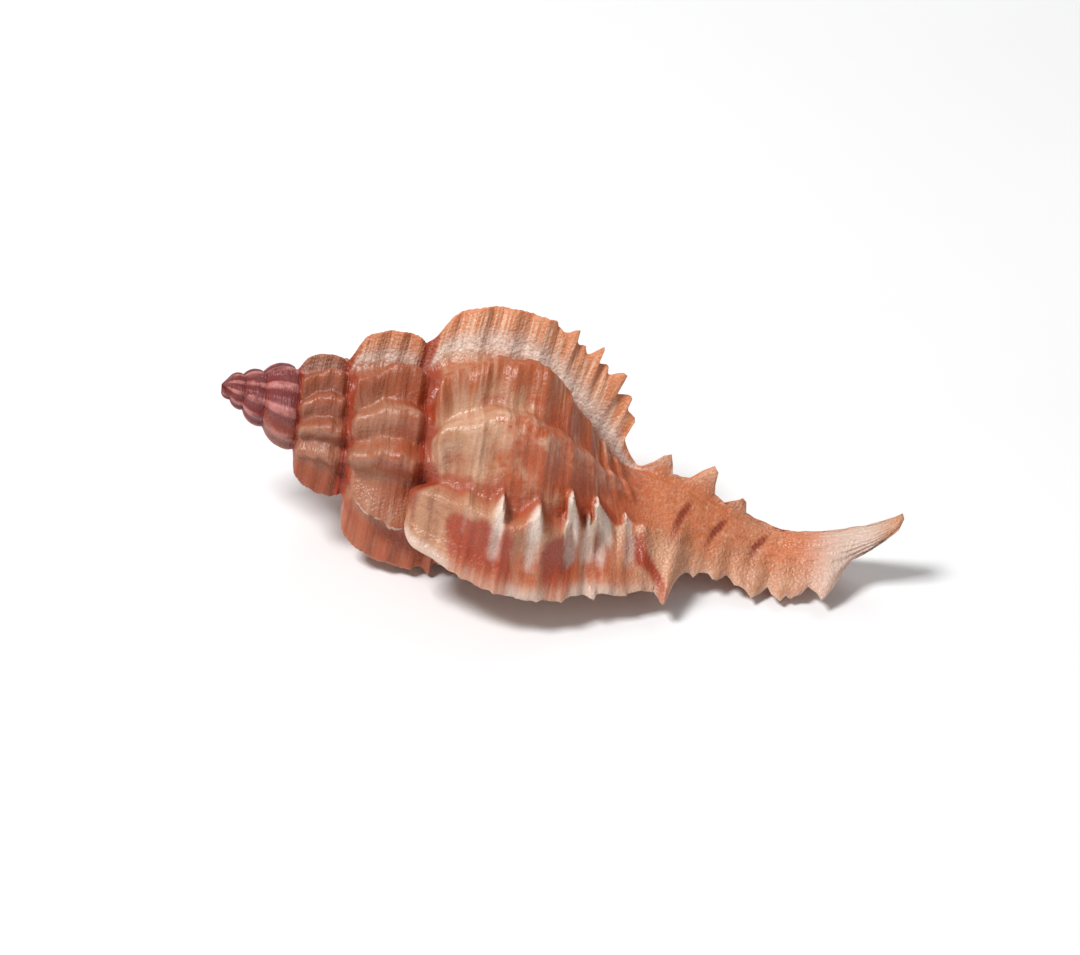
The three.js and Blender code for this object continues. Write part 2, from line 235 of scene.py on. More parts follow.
def ease(t):
    t = np.clip(t, 0, 1)
    return t * t * (3 - 2 * t)


def bell(x, width):
    return np.exp(-((x / width) ** 2))


def larger(a, b, blend):
    return 0.5 * (a + b + np.hypot(a - b, blend) - 0.3 * blend)


def growth(age):
    return WHORL_GROWTH ** (-np.asarray(age, float) / 360)


def earlier(age):
    """1 on the first whorls, which have plain ribs in place of flanges."""
    return ease((age - 900) / 200)


def body_radius(age, along):
    size = growth(age)
    return larger(size * BODY(along / size) * (1 + EARLY_FULLNESS * earlier(age)), STEM(along), 0.8)


def waves(u, v, seed):
    """Slow irregular waves between -1 and 1, the same on each run."""
    total = 0
    for k in range(5):
        turn = seed * 1.7 + k * 2.4
        across = u * (1 + 0.61 * k) * math.cos(turn)
        onward = v * (1 + 0.53 * k) * math.sin(turn)
        total = total + np.sin(across + onward + 4.1 * turn) / (1 + 0.5 * k)
    return total / 2.8


def flanges_and_ribs(age, at):
    """How far each point is up a flange, up the front of one, up a rib, and up a rib that isn't the first."""
    share, front, rib, later_rib = (np.zeros(age.shape) for _ in range(4))
    for position, height, ribs in VARICES:
        past = position - age + 0.9 * np.sin(at * 1.9 + position)
        near = (past > -FLANGE_BEHIND) & (past < FLANGE_AHEAD)
        own = np.where(near, height * FLANGE_SHARE(past), 0)
        front = np.where((own > share) & (past > 0), own, front)
        share = np.maximum(share, own)
        for k, after in enumerate(ribs):
            bend = RIB_BEND * (LATER_BEND if k else 1)
            offset = past - after - bend * np.clip((RIB_BEND_END - at) / RIB_BEND_RUN, 0, 1) ** 2
            shape = np.where(offset < 0, bell(offset, RIB_BACK), bell(offset, RIB_FRONT))
            rib = np.maximum(rib, (1 if k else FIRST_RIB) * shape)
            later_rib = np.maximum(later_rib, shape if k else 0)
    return share, front, rib * (1 - ease(share / 0.7)), later_rib


def last_frill_folds(at):
    """How many degrees the folds of the last frill reach back."""
    fold = np.zeros(at.shape)
    for where, reach, left, right in FOLDS:
        side = at - where
        tooth = np.clip(1 - np.where(side < 0, -side / left, side / right), 0, 1)
        fold = np.maximum(fold, reach * tooth ** 1.3)
    return fold


def crests_between(age, at, fold):
    """Height of the crests and of their fronts, the pockets beside them, their lean, and the suture ledge."""
    crest, crest_front, pocket, lean, ledge = (np.zeros(age.shape) for _ in range(5))
    for position, slant, height, back in CRESTS:
        past = position - slant * ease((22.6 - at) / 3) - age + 0.7 * np.sin(at * 1.3 + position)
        if back:
            past = past + fold
        height = height * (1 if back else ease((31.5 - at) / 2))
        own = height * (CREST_BACK(past) if back else CREST_FRONT(past))
        crest_front = np.where((own > crest) & (past > 0.4) & (not back), own, crest_front)
        crest = np.maximum(crest, own)
        pocket = np.maximum(pocket, height * (bell(past + 6.5, 4.2) if back else bell(past - 4.5, 3)))
        lean = np.where(np.abs(past) < 20, -0.3 if back else 0.5, lean)
        if back:
            ledge = ease((past + 5) / 5) * bell(at - 21.2, 1.3) * (past < 40)
    return crest, crest_front, pocket, lean, ledge


def spiral_cords(at, turned, on_whorl):
    """Heights of the cords, and of the scales and pointed tips where they cross a crest or a flange."""
    cords, scales = np.zeros(at.shape), np.zeros(at.shape)
    for k, (where, low, high) in enumerate(CORDS):
        drift = 0.22 * np.sin(turned * 1.6 + k * 2.1)
        ridge = bell(at - where - drift, 0.6 if where < 33 else 0.45)
        cords = cords + low * ridge
        scales = scales + high * ridge
    cords = cords * on_whorl * (1 + 0.35 * waves(at * 0.5, turned * 11, 2.0))
    tips = scales * (1 + 0.3 * waves(at * 1.3, turned * 5, 3.0)) * ease((at - 26) / 8)
    return cords, scales, (tips + 0.3 * np.abs(np.cos(at * math.pi / SMALL_TIP))) * on_whorl


def lip_markings(age, at):
    """Pale stripes on the folds of the last frill, and the brick red bands."""
    stripe, patch = np.zeros(age.shape), np.zeros(age.shape)
    for where, _, left, right in FOLDS[1:]:
        stripe = np.maximum(stripe, bell(at - where - 0.3 * (right - left), 0.75))
    for where, half, drift in BANDS:
        side = np.abs(at - where - drift * ease((16 - age) / 16))
        patch = np.maximum(patch, ease((half + 0.9 - side) / 1.8))
    return stripe * ease((30 - age) / 6) * ease((age - 4) / 8), patch * ease((27 - age) / 10)


def canal_ornament(age, along, turned, on_canal):
    """The blade that carries on the lip, and the hooked spines where the dorsal flange runs out.

    Gives the height, the shift towards the tip, and the grooves. None of them grow with the whorl.
    """
    ragged = 1 + 0.13 * np.sin(along * 1.9 + 1.5) + 0.1 * np.sin(along * 3.4) + 0.05 * np.sin(along * 7.3 + 1)
    blade = LIP_BLADE(along) * FLANGE_SHARE(np.clip(-age * 0.55, -FLANGE_BEHIND, 0))
    blade = blade * np.where(along > 43.5, ragged, 1)
    past = DORSAL_FLANGE - age
    ridge = np.where(past < 16, FLANGE_SHARE(np.clip(past * 0.62, -FLANGE_BEHIND, FLANGE_AHEAD)), 0)
    spine = 0
    for where, tall, width in CANAL_SPINES:
        spine = np.maximum(spine, tall * bell(along - where - 0.02 * past, width))
    web = 0.6 * ease((along - CANAL_START) / 3) * ease((53 - along) / 6)
    hook = HOOK * ridge * spine * ease((54 - along) / 4) * ease((along - 37) / 2)
    groove = sum(bell(along - where - 0.018 * (age - 40), 0.42) for where in CANAL_GROOVES)
    groove = groove * bell(age - 55, 42) * on_canal
    knots = waves(along * 2.3, turned * 9, 4.0) * on_canal
    canal = np.maximum(blade, ridge * np.maximum(spine, web))
    canal = canal + on_canal * (0.1 * knots + 0.06 * np.cos(turned * 26 + along)) - 0.3 * groove
    return np.where(age < 372, canal * ease((372 - age) / 12), 0), np.where(age < 300, hook, 0), groove


def shell(age, along):
    """The outside at each age and distance along the axis: where it lies, and masks for the colours."""
    age, along = np.broadcast_arrays(np.asarray(age, float), np.asarray(along, float))
    size = growth(age)
    at = along / size
    early = earlier(age)
    late = 1 - early
    turned = age * math.pi / 180
    on_whorl = ease((at - 20.2) / 1.2) * ease((42.5 - at) / 3)
    on_canal = ease((along - CANAL_START) / 5) * ease((360 - age) / 20)

    share, front, rib, later_rib = flanges_and_ribs(age, at)
    bare = 1 - np.minimum(share, 1)
    fold = last_frill_folds(at)
    crest, crest_front, pocket, lean, ledge = crests_between(age, at, fold)
    cords, scales, tips = spiral_cords(at, turned, on_whorl)
    full_scales = np.clip(scales, 0, 1)
    early_rib = early * (0.5 + 0.5 * np.cos(turned * EARLY_RIBS))
    fine = np.cos((at - SUTURE) * (2 * math.pi / FINE_CORD)) * on_whorl
    uneven = waves(at * 0.9, turned * 7, 1.0)

    # Height above the plain whorl
    flange = np.maximum(0, FLANGE(at) - BODY(at) - 0.2) * share
    crest_height = crest * RIB_SHARE(at) * late
    rib_height = RIB_HEIGHT * RIB_SHARE(at) * rib * late
    rib_height = rib_height * (1 + 0.16 * uneven + 0.25 * ease((age - 330) / 40))
    rib_height = rib_height + EARLY_RIB_HEIGHT * early_rib
    height = flange + np.maximum(crest_height, rib_height) + 0.25 * np.minimum(crest_height, rib_height)
    height = height + late * (cords * (1 + 0.8 * rib) + 0.05 * fine * bare) + 0.14 * late * uneven * bare
    crown = np.clip(fold / 8, 0, 1) * bell(crest - 1.6, 0.9) * (age < FRILL_END)
    height = height + 0.16 * ledge * np.sin(age * 1.5) + 0.5 * crown
    height = height + 0.3 * late * tips * crest / CREST_SIZE
    height = height - late * 0.4 * pocket / CREST_SIZE * (1 - full_scales) * ease((at - 30) / 3) * on_whorl

    # Nodules where the ribs meet the suture, and the groove along it
    node = late * rib * bell(at - 21.9, 1.1)
    trough = bell(at - 20.5, 0.75) + bell(at - 30.7, 0.6) * ease((age - 330) / 30)
    height = height + 0.6 * node - 0.75 * late * trough

    # Edges of the flanges run out along their outline, and the scales lean forwards
    slope = (FLANGE(at + 0.3) - FLANGE(at - 0.3)) / 0.6
    out = 1 / np.hypot(1, slope)
    points = sum(long * bell(at - where - 0.1 * np.sin(turned * 9 + where), 0.36) for where, long in SPINES)
    reach = (0.3 * tips + points) * share ** 2 * ease((share - 0.3) / 0.5)
    height = height + reach * out
    axial = -reach * slope * out * 0.9 - 1.1 * node
    ahead = 1.1 * lean * scales * crest / CREST_SIZE * ease((at - 24) / 6)
    frill = 0.2 * np.sin(at * 2 * math.pi / 2.95 + 0.7) + 0.1 * np.sin(at * 2 * math.pi / 1.3 + turned)
    frill = share ** 2 * frill * (0.5 + ease((at - 30) / 6))
    crinkle = front * (0.13 * full_scales + 0.05 * fine) * 1.6

    canal, hook, groove = canal_ornament(age, along, turned, on_canal)
    taper = ease((CANAL_TIP - along) / 1.5)
    ornament = np.maximum(size * height * ease((54 - at) / 8), canal * taper)

    # Where the colours go
    bald = np.clip(1 - 1.6 * rib - 2 * share, 0, 1)
    seam = bell(at - SUTURE - 0.2, 0.9) + 0.7 * bell(at - 21.2, 0.8) * bald
    seam = seam + np.where(age > 360, bell((NEXT_SUTURE - at) / 0.8, 1), 0)
    white = np.clip(fold / 8, 0, 1) * (crest > 0.3) * (age < FRILL_END)
    white = white * np.clip(1.3 - np.abs(crest - 1.7), 0, 1)
    stripe, patch = lip_markings(age, at)
    return {
        "radius": body_radius(age, along) + ornament,
        "along": along + axial * size * late + hook,
        "tangential": -(ahead + frill + crinkle) * size * late,
        "fade": np.clip(1 - (along - SUTURE * size) / (2.2 * size), 0, 1),
        "overhang": LEDGE * ledge * ease((at - SUTURE - 0.1) / 0.8),
        "size": size,
        "place": along,
        "masks": {
            "flange": np.clip(share, 0, 1.1),
            "front": np.clip(front + crest_front / 2.4, 0, 1.1),
            "rib": np.clip(rib / 1.2, 0, 1) * late + early_rib,
            "later_rib": np.clip(later_rib, 0, 1) * late,
            "crest": np.clip(crest / CREST_SIZE, 0, 1),
            # Where the painted shade in the pockets beside the crests goes
            "pocket": np.clip(pocket / CREST_SIZE, 0, 1) * (1 - full_scales),
            "scale": full_scales * on_whorl,
            "fold": np.maximum(white, 0.55 * stripe),
            "patch": patch,
            "ledge": np.clip(ledge, 0, 1),
            "lip": ease((5.5 - age) / 4.5),
            "seam": seam,
            "canal": on_canal,
            "blade": np.clip(canal / 3, 0, 1) * on_canal,
            "groove": np.clip(groove, 0, 1),
            "spiral": at,
            "distance": along,
            "growth": age / 360,
        },
    }


# Values stored at each point of the mesh, for the material
MASKS = (
    "flange", "front", "rib", "later_rib", "crest", "pocket", "scale", "fold", "patch", "ledge", "lip",
    "seam", "inside", "canal", "blade", "groove", "spiral", "distance", "growth",
)


class Surface:
    """Points with their masks, and the faces between them."""

    def __init__(self):
        self.points, self.masks, self.quads, self.triangles = [], [], [], []
        self.count = 0

    def add(self, along, radius, angle, masks):
        along, radius, angle = np.broadcast_arrays(along, radius, angle)
        turn = np.radians(angle)
        xyz = np.stack([along, -radius * np.cos(turn), radius * np.sin(turn) + BEND(along)], -1)
        xyz = xyz.reshape(-1, 3)
        values = [np.broadcast_to(masks.get(name, 0.0), along.shape).reshape(-1) for name in MASKS]
        self.points.append(xyz)
        self.masks.append(np.stack(values, -1))
        index = np.arange(self.count, self.count + len(xyz)).reshape(along.shape)
        self.count += len(xyz)
        return index

    def outside(self, age, along):
        """Outside of the shell, each new whorl starting on the surface of the one it is laid on."""
        age, along = np.broadcast_arrays(np.asarray(age, float), np.asarray(along, float))
        own = shell(age, along)
        radius, fade = own["radius"], own["fade"]
        seam = SUTURE * own["size"]
        older = shell(age + 360, seam)
        start = shell(age, seam)
        radius = radius + (older["radius"] - start["radius"]) * fade ** 2
        tangential = own["tangential"] * (1 - fade) + older["tangential"] * fade ** 2
        place = own["along"] * (1 - fade) + own["place"] * fade - own["overhang"]
        slit = np.where((age > 300) & (age <= 360), SLIT * ease((along - 34) / 6) * ease((age - 300) / 60), 0)
        angle = LIP_ANGLE + age - slit + np.degrees(tangential / np.maximum(radius, 1.0))
        return self.add(place, np.maximum(radius, 0.05), angle, own["masks"])

    def sheet(self, left, right):
        """Quads between two lines with the same number of points."""
        self.quads.append(np.stack([left[:-1], left[1:], right[1:], right[:-1]], -1))

    def join(self, left, right):
        """Triangles between two lines that may share their ends, always by the shorter crossing."""
        xyz = np.concatenate(self.points)
        a, b = xyz[left], xyz[right]
        i = j = 0
        while i < len(left) - 1 or j < len(right) - 1:
            step = i < len(left) - 1
            if step and j < len(right) - 1:
                step = math.dist(a[i + 1], b[j]) <= math.dist(a[i], b[j + 1])
            face = (left[i], left[i + 1], right[j]) if step else (left[i], right[j + 1], right[j])
            if len(set(face)) == 3:
                self.triangles.append(face)
            i, j = (i + 1, j) if step else (i, j + 1)


def column_ages():
    """Ages of the lines along the last whorl, closest together at the flanges and crests."""
    steps = np.linspace(0, 360, 7201)
    density = np.ones(steps.shape)
    for position, extra in CLOSER:
        density += extra * bell(steps - position + 1, 5)
    total = np.concatenate([[0], np.cumsum((density[1:] + density[:-1]) / 2)])
    return np.interp(np.linspace(0, total[-1], COLUMNS + 1)[:-1], total, steps)


def last_whorl_rows(ages):
    """Distances along the axis of the rows of the last whorl, one line for each age."""
    size = growth(ages)[:, None]
    t = np.linspace(0, 1, BODY_ROWS + 1)
    body = size * (SUTURE + (41.5 - SUTURE) * (t - 0.035 * np.sin(2 * math.pi * t)))
    start = body[:, -1:]
    neck = start + (np.maximum(38.2, start + 1.2) - start) * np.linspace(0, 1, NECK_ROWS + 1)[1:]
    t = np.linspace(0, 1, CANAL_ROWS + 1)[1:]
    canal = neck[:, -1:] + (CANAL_TIP - 0.25 - neck[:, -1:]) * t
    return np.concatenate([body, neck, canal], 1)


def section(surface, age):
    """Cross-section of the hollow behind the mouth: its inner and outer side, and where it ends."""
    size = float(growth(age))
    wall = WALL * (0.4 + 0.6 * size)
    start = (SUTURE + 1.2) * size
    end = 30 * size
    while body_radius(age, end) - wall - body_radius(age + 360, end) - CALLUS > 1.1:
        end += 0.05
    along = start + (end - start) * np.linspace(0, 1, SECTION_POINTS) ** 1.15
    outer = body_radius(age, along) - wall
    inner = body_radius(age + 360, along) + CALLUS
    middle = (outer + inner) / 2
    index = np.arange(SECTION_POINTS)
    round_off = np.maximum(bell(index, 2.2), 0.5 * bell(index[::-1], 2))
    masks = {
        "inside": 0.6 + 0.4 * min(age / 60, 1),
        "distance": along,
        "growth": age / 360,
        "spiral": along / size,
    }
    return {
        "inner": surface.add(along, inner + (middle - inner) * 0.6 * round_off, LIP_ANGLE + age + 1.5, masks),
        "outer": surface.add(along, outer + (middle - outer) * 0.6 * round_off, LIP_ANGLE + age - 0.5, masks),
        "end": end,
        "along": along,
    }


def build_spire(surface, ages):
    """The whorls before the last one.

    Gives the line where the last whorl starts, and the line at the lip's angle.
    """
    whorls = len(SPIRE_ROWS)
    seams = []
    for k in range(whorls + 1):
        along = SUTURE * growth(ages + 360 * k)
        seams.append(surface.outside(ages + 360 * (k + 1), along))
    lip_lines = []
    previous = None
    for k in range(1, whorls + 1):
        whorl = ages + 360 * k
        t = np.linspace(0, 1, SPIRE_ROWS[k - 1] + 1)[1:-1]
        at = SUTURE + (NEXT_SUTURE - SUTURE) * (t - 0.04 * np.sin(2 * math.pi * t))
        rows = surface.outside(whorl[:, None], growth(whorl)[:, None] * at)
        lines = np.concatenate([seams[k][:, None], rows, seams[k - 1][:, None]], 1)
        for i in range(len(ages) - 1):
            surface.sheet(lines[i], lines[i + 1])
        if previous is not None:
            surface.join(previous[-1], lines[0])
        lip_lines.append(lines[0])
        previous = lines
    masks = {"distance": APEX, "growth": 6.0, "spiral": 25.0, "rib": 0.5}
    apex = surface.add(np.array([APEX]), 0.0, 0.0, masks)
    for i in range(len(ages) - 1):
        surface.triangles.append((apex[0], seams[whorls][i], seams[whorls][i + 1]))
    surface.join(np.concatenate([apex, previous[-1]]), np.array([apex[0], seams[whorls][0]]))
    return seams[0], lip_lines[0]


def build_last_whorl(surface, ages, start, lip_line):
    """The last whorl with the base and canal, and the inner edge of the mouth. Gives the mouth's edges."""
    rows = last_whorl_rows(ages)
    grid = surface.outside(ages[:, None], rows[:, 1:])
    tip = surface.add(np.array([CANAL_TIP]), 0.0, 0.0, {"distance": CANAL_TIP, "canal": 1.0})
    lines = np.concatenate([start[:, None], grid, np.repeat(tip[None], len(ages), 0)], 1)
    for i in range(len(ages) - 1):
        surface.sheet(lines[i], lines[i + 1])
    inner_rows = last_whorl_rows(np.array([360.0]))[0]
    inner_rows = inner_rows[inner_rows > SUTURE + 0.15]
    inner = np.concatenate([start[:1], surface.outside(np.full(inner_rows.shape, 360.0), inner_rows), tip])
    surface.join(lines[-1], np.concatenate([lip_line, inner[1:]]))
    return {"lip": lines[0], "lip_rows": rows[0, 1:], "inner": inner, "inner_rows": inner_rows, "tip": tip}


def build_mouth(surface, edges):
    """The face of the lip, the rim of the mouth, the slit along the canal and the hollow."""
    opening = section(surface, 0)
    rows = edges["lip_rows"]
    mouth = 1 - ease((rows - 36) / 4)
    rim_radius = (body_radius(0, rows) + 0.45) * mouth + (STEM(rows) + 0.25) * (1 - mouth)
    rim_angle = LIP_ANGLE - 2 - 1.6 * mouth
    xyz = np.concatenate(surface.points)[edges["lip"][1:-1]]
    lip_radius = np.hypot(xyz[:, 1], xyz[:, 2] - BEND(xyz[:, 0]))
    lip_angle = np.degrees(np.arctan2(xyz[:, 2] - BEND(xyz[:, 0]), -xyz[:, 1]))
    strips = [edges["lip"]]
    for t in (0.12, 0.28, 0.46, 0.64, 0.82, 1.0):
        belly = 1.3 * math.sin(math.pi * t) * mouth
        radius = lip_radius + (rim_radius - lip_radius) * t
        angle = lip_angle + (rim_angle - lip_angle) * t ** 0.7 - belly * 0.6
        folds = 0.5 * (1 - t) * np.cos((rows - SUTURE) * (2 * math.pi / FINE_CORD)) * mouth
        masks = {
            "inside": 0.35 * t * mouth, "front": 1 - 0.6 * t, "flange": 1 - 0.8 * t, "canal": 1 - mouth,
            "distance": rows, "spiral": rows,
        }
        line = surface.add(xyz[:, 0] + (rows - xyz[:, 0]) * t, radius, angle - folds * 0.5, masks)
        strips.append(np.concatenate([edges["lip"][:1], line, edges["tip"]]))
    for outer, inner in zip(strips[:-1], strips[1:]):
        surface.sheet(inner, outer)
    rim = strips[-1]

    turn = int(np.argmax(rows > opening["end"])) + 2
    inner = edges["inner"]
    inner_turn = int(np.argmax(edges["inner_rows"] > opening["end"])) + 2
    surface.join(opening["outer"], rim[:turn])
    surface.join(inner[:inner_turn], opening["inner"])
    surface.triangles.append((edges["lip"][0], opening["inner"][0], opening["outer"][0]))

    floor_rows = rows[rows > opening["end"] + 0.6]
    depth = np.maximum(STEM(floor_rows) - SLIT_DEPTH, 0.3 * STEM(floor_rows))
    masks = {"canal": 1.0, "distance": floor_rows, "inside": 0.3, "seam": 0.5}
    floor = surface.add(floor_rows, depth, LIP_ANGLE - SLIT / 2, masks)
    floor = np.concatenate([floor, edges["tip"]])
    surface.join(inner[inner_turn - 1:], floor)
    surface.join(floor, rim[turn - 1:])
    last_outer, last_inner = opening["outer"][-1], opening["inner"][-1]
    surface.triangles += [
        (rim[turn - 1], last_outer, floor[0]),
        (last_outer, last_inner, floor[0]),
        (last_inner, inner[inner_turn - 1], floor[0]),
    ]

    def ring(part):
        return np.concatenate([part["inner"], part["outer"][::-1], part["inner"][:1]])

    near = opening
    for age in range(SECTION_STEP, MOUTH_DEPTH + 1, SECTION_STEP):
        far = section(surface, age)
        surface.sheet(ring(near), ring(far))
        near = far
    surface.join(near["inner"], near["outer"])


def build_shell():
    """The whole shell as one mesh, lying in the CAD solid's box."""
    surface = Surface()
    ages = column_ages()
    start, lip_line = build_spire(surface, ages)
    edges = build_last_whorl(surface, ages, start, lip_line)
    build_mouth(surface, edges)

    points = np.concatenate(surface.points)
    masks = np.concatenate(surface.masks)
    turn = Euler((math.radians(REST_ROLL), 0, 0)).to_matrix()
    turn.rotate(Euler((0, math.radians(REST_PITCH), 0)))
    points = points @ np.array(turn).T
    low, high = (np.array(corner) * 1000 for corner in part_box("murex_shell"))
    shift = [(low[0] + high[0]) / 2 - (points[:, 0].min() + points[:, 0].max()) / 2,
             (low[1] + high[1]) / 2 - (points[:, 1].min() + points[:, 1].max()) / 2,
             -points[:, 2].min() - CONTACT_WEAR]
    points = points + shift
    points[:, 2] = np.maximum(points[:, 2], 0)

    quads = np.concatenate([q.reshape(-1, 4) for q in surface.quads])
    faces = [tuple(dict.fromkeys(quad)) for quad in quads.tolist()]
    faces += [tuple(map(int, triangle)) for triangle in surface.triangles]
    faces = [f for f in faces if len(f) > 2]
    mesh = bpy.data.meshes.new("murex_shell_fine")
    mesh.from_pydata((points / 1000).tolist(), [], faces)
    mesh.validate()
    for column, name in enumerate(MASKS):
        attribute = mesh.attributes.new(name, "FLOAT", "POINT")
        attribute.data.foreach_set("value", masks[:, column].astype(np.float32))
    mesh.polygons.foreach_set("use_smooth", [True] * len(mesh.polygons))
    shell_object = bpy.data.objects.new("murex_shell_fine", mesh)
    bpy.context.scene.collection.objects.link(shell_object)
    return shell_object


def linear(red, green, blue):
    """A colour given as on a screen, 0 to 255, as light."""
    return tuple((c / 255 / 12.92) if c / 255 <= 0.04045 else ((c / 255 + 0.055) / 1.055) ** 2.4
                 for c in (red, green, blue)) + (1.0,)


class Nodes:
    """Short names for the nodes of one material."""

    def __init__(self, name):
        self.material = bpy.data.materials.new(name)
        self.material.use_nodes = True
        self.tree = self.material.node_tree
        self.shader = self.tree.nodes["Principled BSDF"]
        self.place = self.tree.nodes.new("ShaderNodeTexCoord").outputs["Object"]

    def put(self, socket, value):
        if isinstance(value, bpy.types.NodeSocket):
            self.tree.links.new(value, socket)
        elif value is not None:
            socket.default_value = value

    def mask(self, name):
        node = self.tree.nodes.new("ShaderNodeAttribute")
        node.attribute_name = name
        return node.outputs["Fac"]

    def math(self, operation, a, b=None):
        node = self.tree.nodes.new("ShaderNodeMath")
        node.operation = operation
        self.put(node.inputs[0], a)
        self.put(node.inputs[1], b)
        return node.outputs[0]

    def noise(self, size_mm, detail=3.0, roughness=0.6, distortion=0.0):
        """Noise with lumps of this size."""
        node = self.tree.nodes.new("ShaderNodeTexNoise")
        self.put(node.inputs["Vector"], self.place)
        self.put(node.inputs["Scale"], 1000 / size_mm)
        self.put(node.inputs["Detail"], detail)
        self.put(node.inputs["Roughness"], roughness)
        self.put(node.inputs["Distortion"], distortion)
        return node.outputs["Fac"]

    def threads(self, pitch, run, detail=3.0):
        """Noise drawn out along the growth of the shell: its pitch across and its run in degrees of age."""
        across = self.math("MULTIPLY", self.mask("spiral"), 1 / pitch)
        onward = self.math("MULTIPLY", self.mask("growth"), 360 / run)
        vector = self.tree.nodes.new("ShaderNodeCombineXYZ")
        self.put(vector.inputs[0], across)
        self.put(vector.inputs[1], onward)
        node = self.tree.nodes.new("ShaderNodeTexNoise")
        self.put(node.inputs["Vector"], vector.outputs[0])
        self.put(node.inputs["Scale"], 1.0)
        self.put(node.inputs["Detail"], detail)
        return node.outputs["Fac"]

    def grains(self, size_mm):
        """Distance from the middle of grains of this size."""
        node = self.tree.nodes.new("ShaderNodeTexVoronoi")
        self.put(node.inputs["Vector"], self.place)
        self.put(node.inputs["Scale"], 1000 / size_mm)
        return node.outputs["Distance"]

    def step(self, value, low, high, to_low=0.0, to_high=1.0):
        """A smooth step from one value to another."""
        node = self.tree.nodes.new("ShaderNodeMapRange")
        node.interpolation_type = "SMOOTHSTEP"
        self.put(node.inputs["Value"], value)
        for name, number in (("From Min", low), ("From Max", high), ("To Min", to_low), ("To Max", to_high)):
            self.put(node.inputs[name], number)
        return node.outputs["Result"]

    def mix(self, below, above, factor):
        node = self.tree.nodes.new("ShaderNodeMix")
        node.data_type = "RGBA"
        node.clamp_factor = True
        colours = [socket for socket in node.inputs if socket.type == "RGBA"]
        self.put(node.inputs[0], factor)
        self.put(colours[0], below)
        self.put(colours[1], above)
        return [socket for socket in node.outputs if socket.type == "RGBA"][0]

    def times(self, *values):
        total = values[0]
        for value in values[1:]:
            total = self.math("MULTIPLY", total, value)
        return total

    def plus(self, *values):
        total = values[0]
        for value in values[1:]:
            total = self.math("ADD", total, value)
        return total

    def bump(self, height, distance_mm, normal=None):
        node = self.tree.nodes.new("ShaderNodeBump")
        self.put(node.inputs["Height"], height)
        self.put(node.inputs["Distance"], distance_mm / 1000)
        self.put(node.inputs["Normal"], normal)
        return node.outputs["Normal"]


# Colours of the shell
BEIGE = linear(182, 130, 98)
RUSSET = linear(176, 84, 46)
TAN = linear(166, 84, 44)
CREAM = linear(238, 208, 180)
WHITE = linear(236, 218, 204)
GREY = linear(208, 182, 166)
ORANGE = linear(206, 126, 80)
BRICK = linear(158, 56, 26)
DEEP = linear(132, 42, 16)
EMBER = linear(150, 50, 24)
OCHRE = linear(190, 126, 74)
CANAL = linear(204, 120, 78)
UMBER = linear(146, 74, 46)
DUSK = linear(140, 80, 58)
WINE = linear(118, 44, 42)
MAUVE = linear(186, 116, 110)
LINING = linear(236, 206, 182)


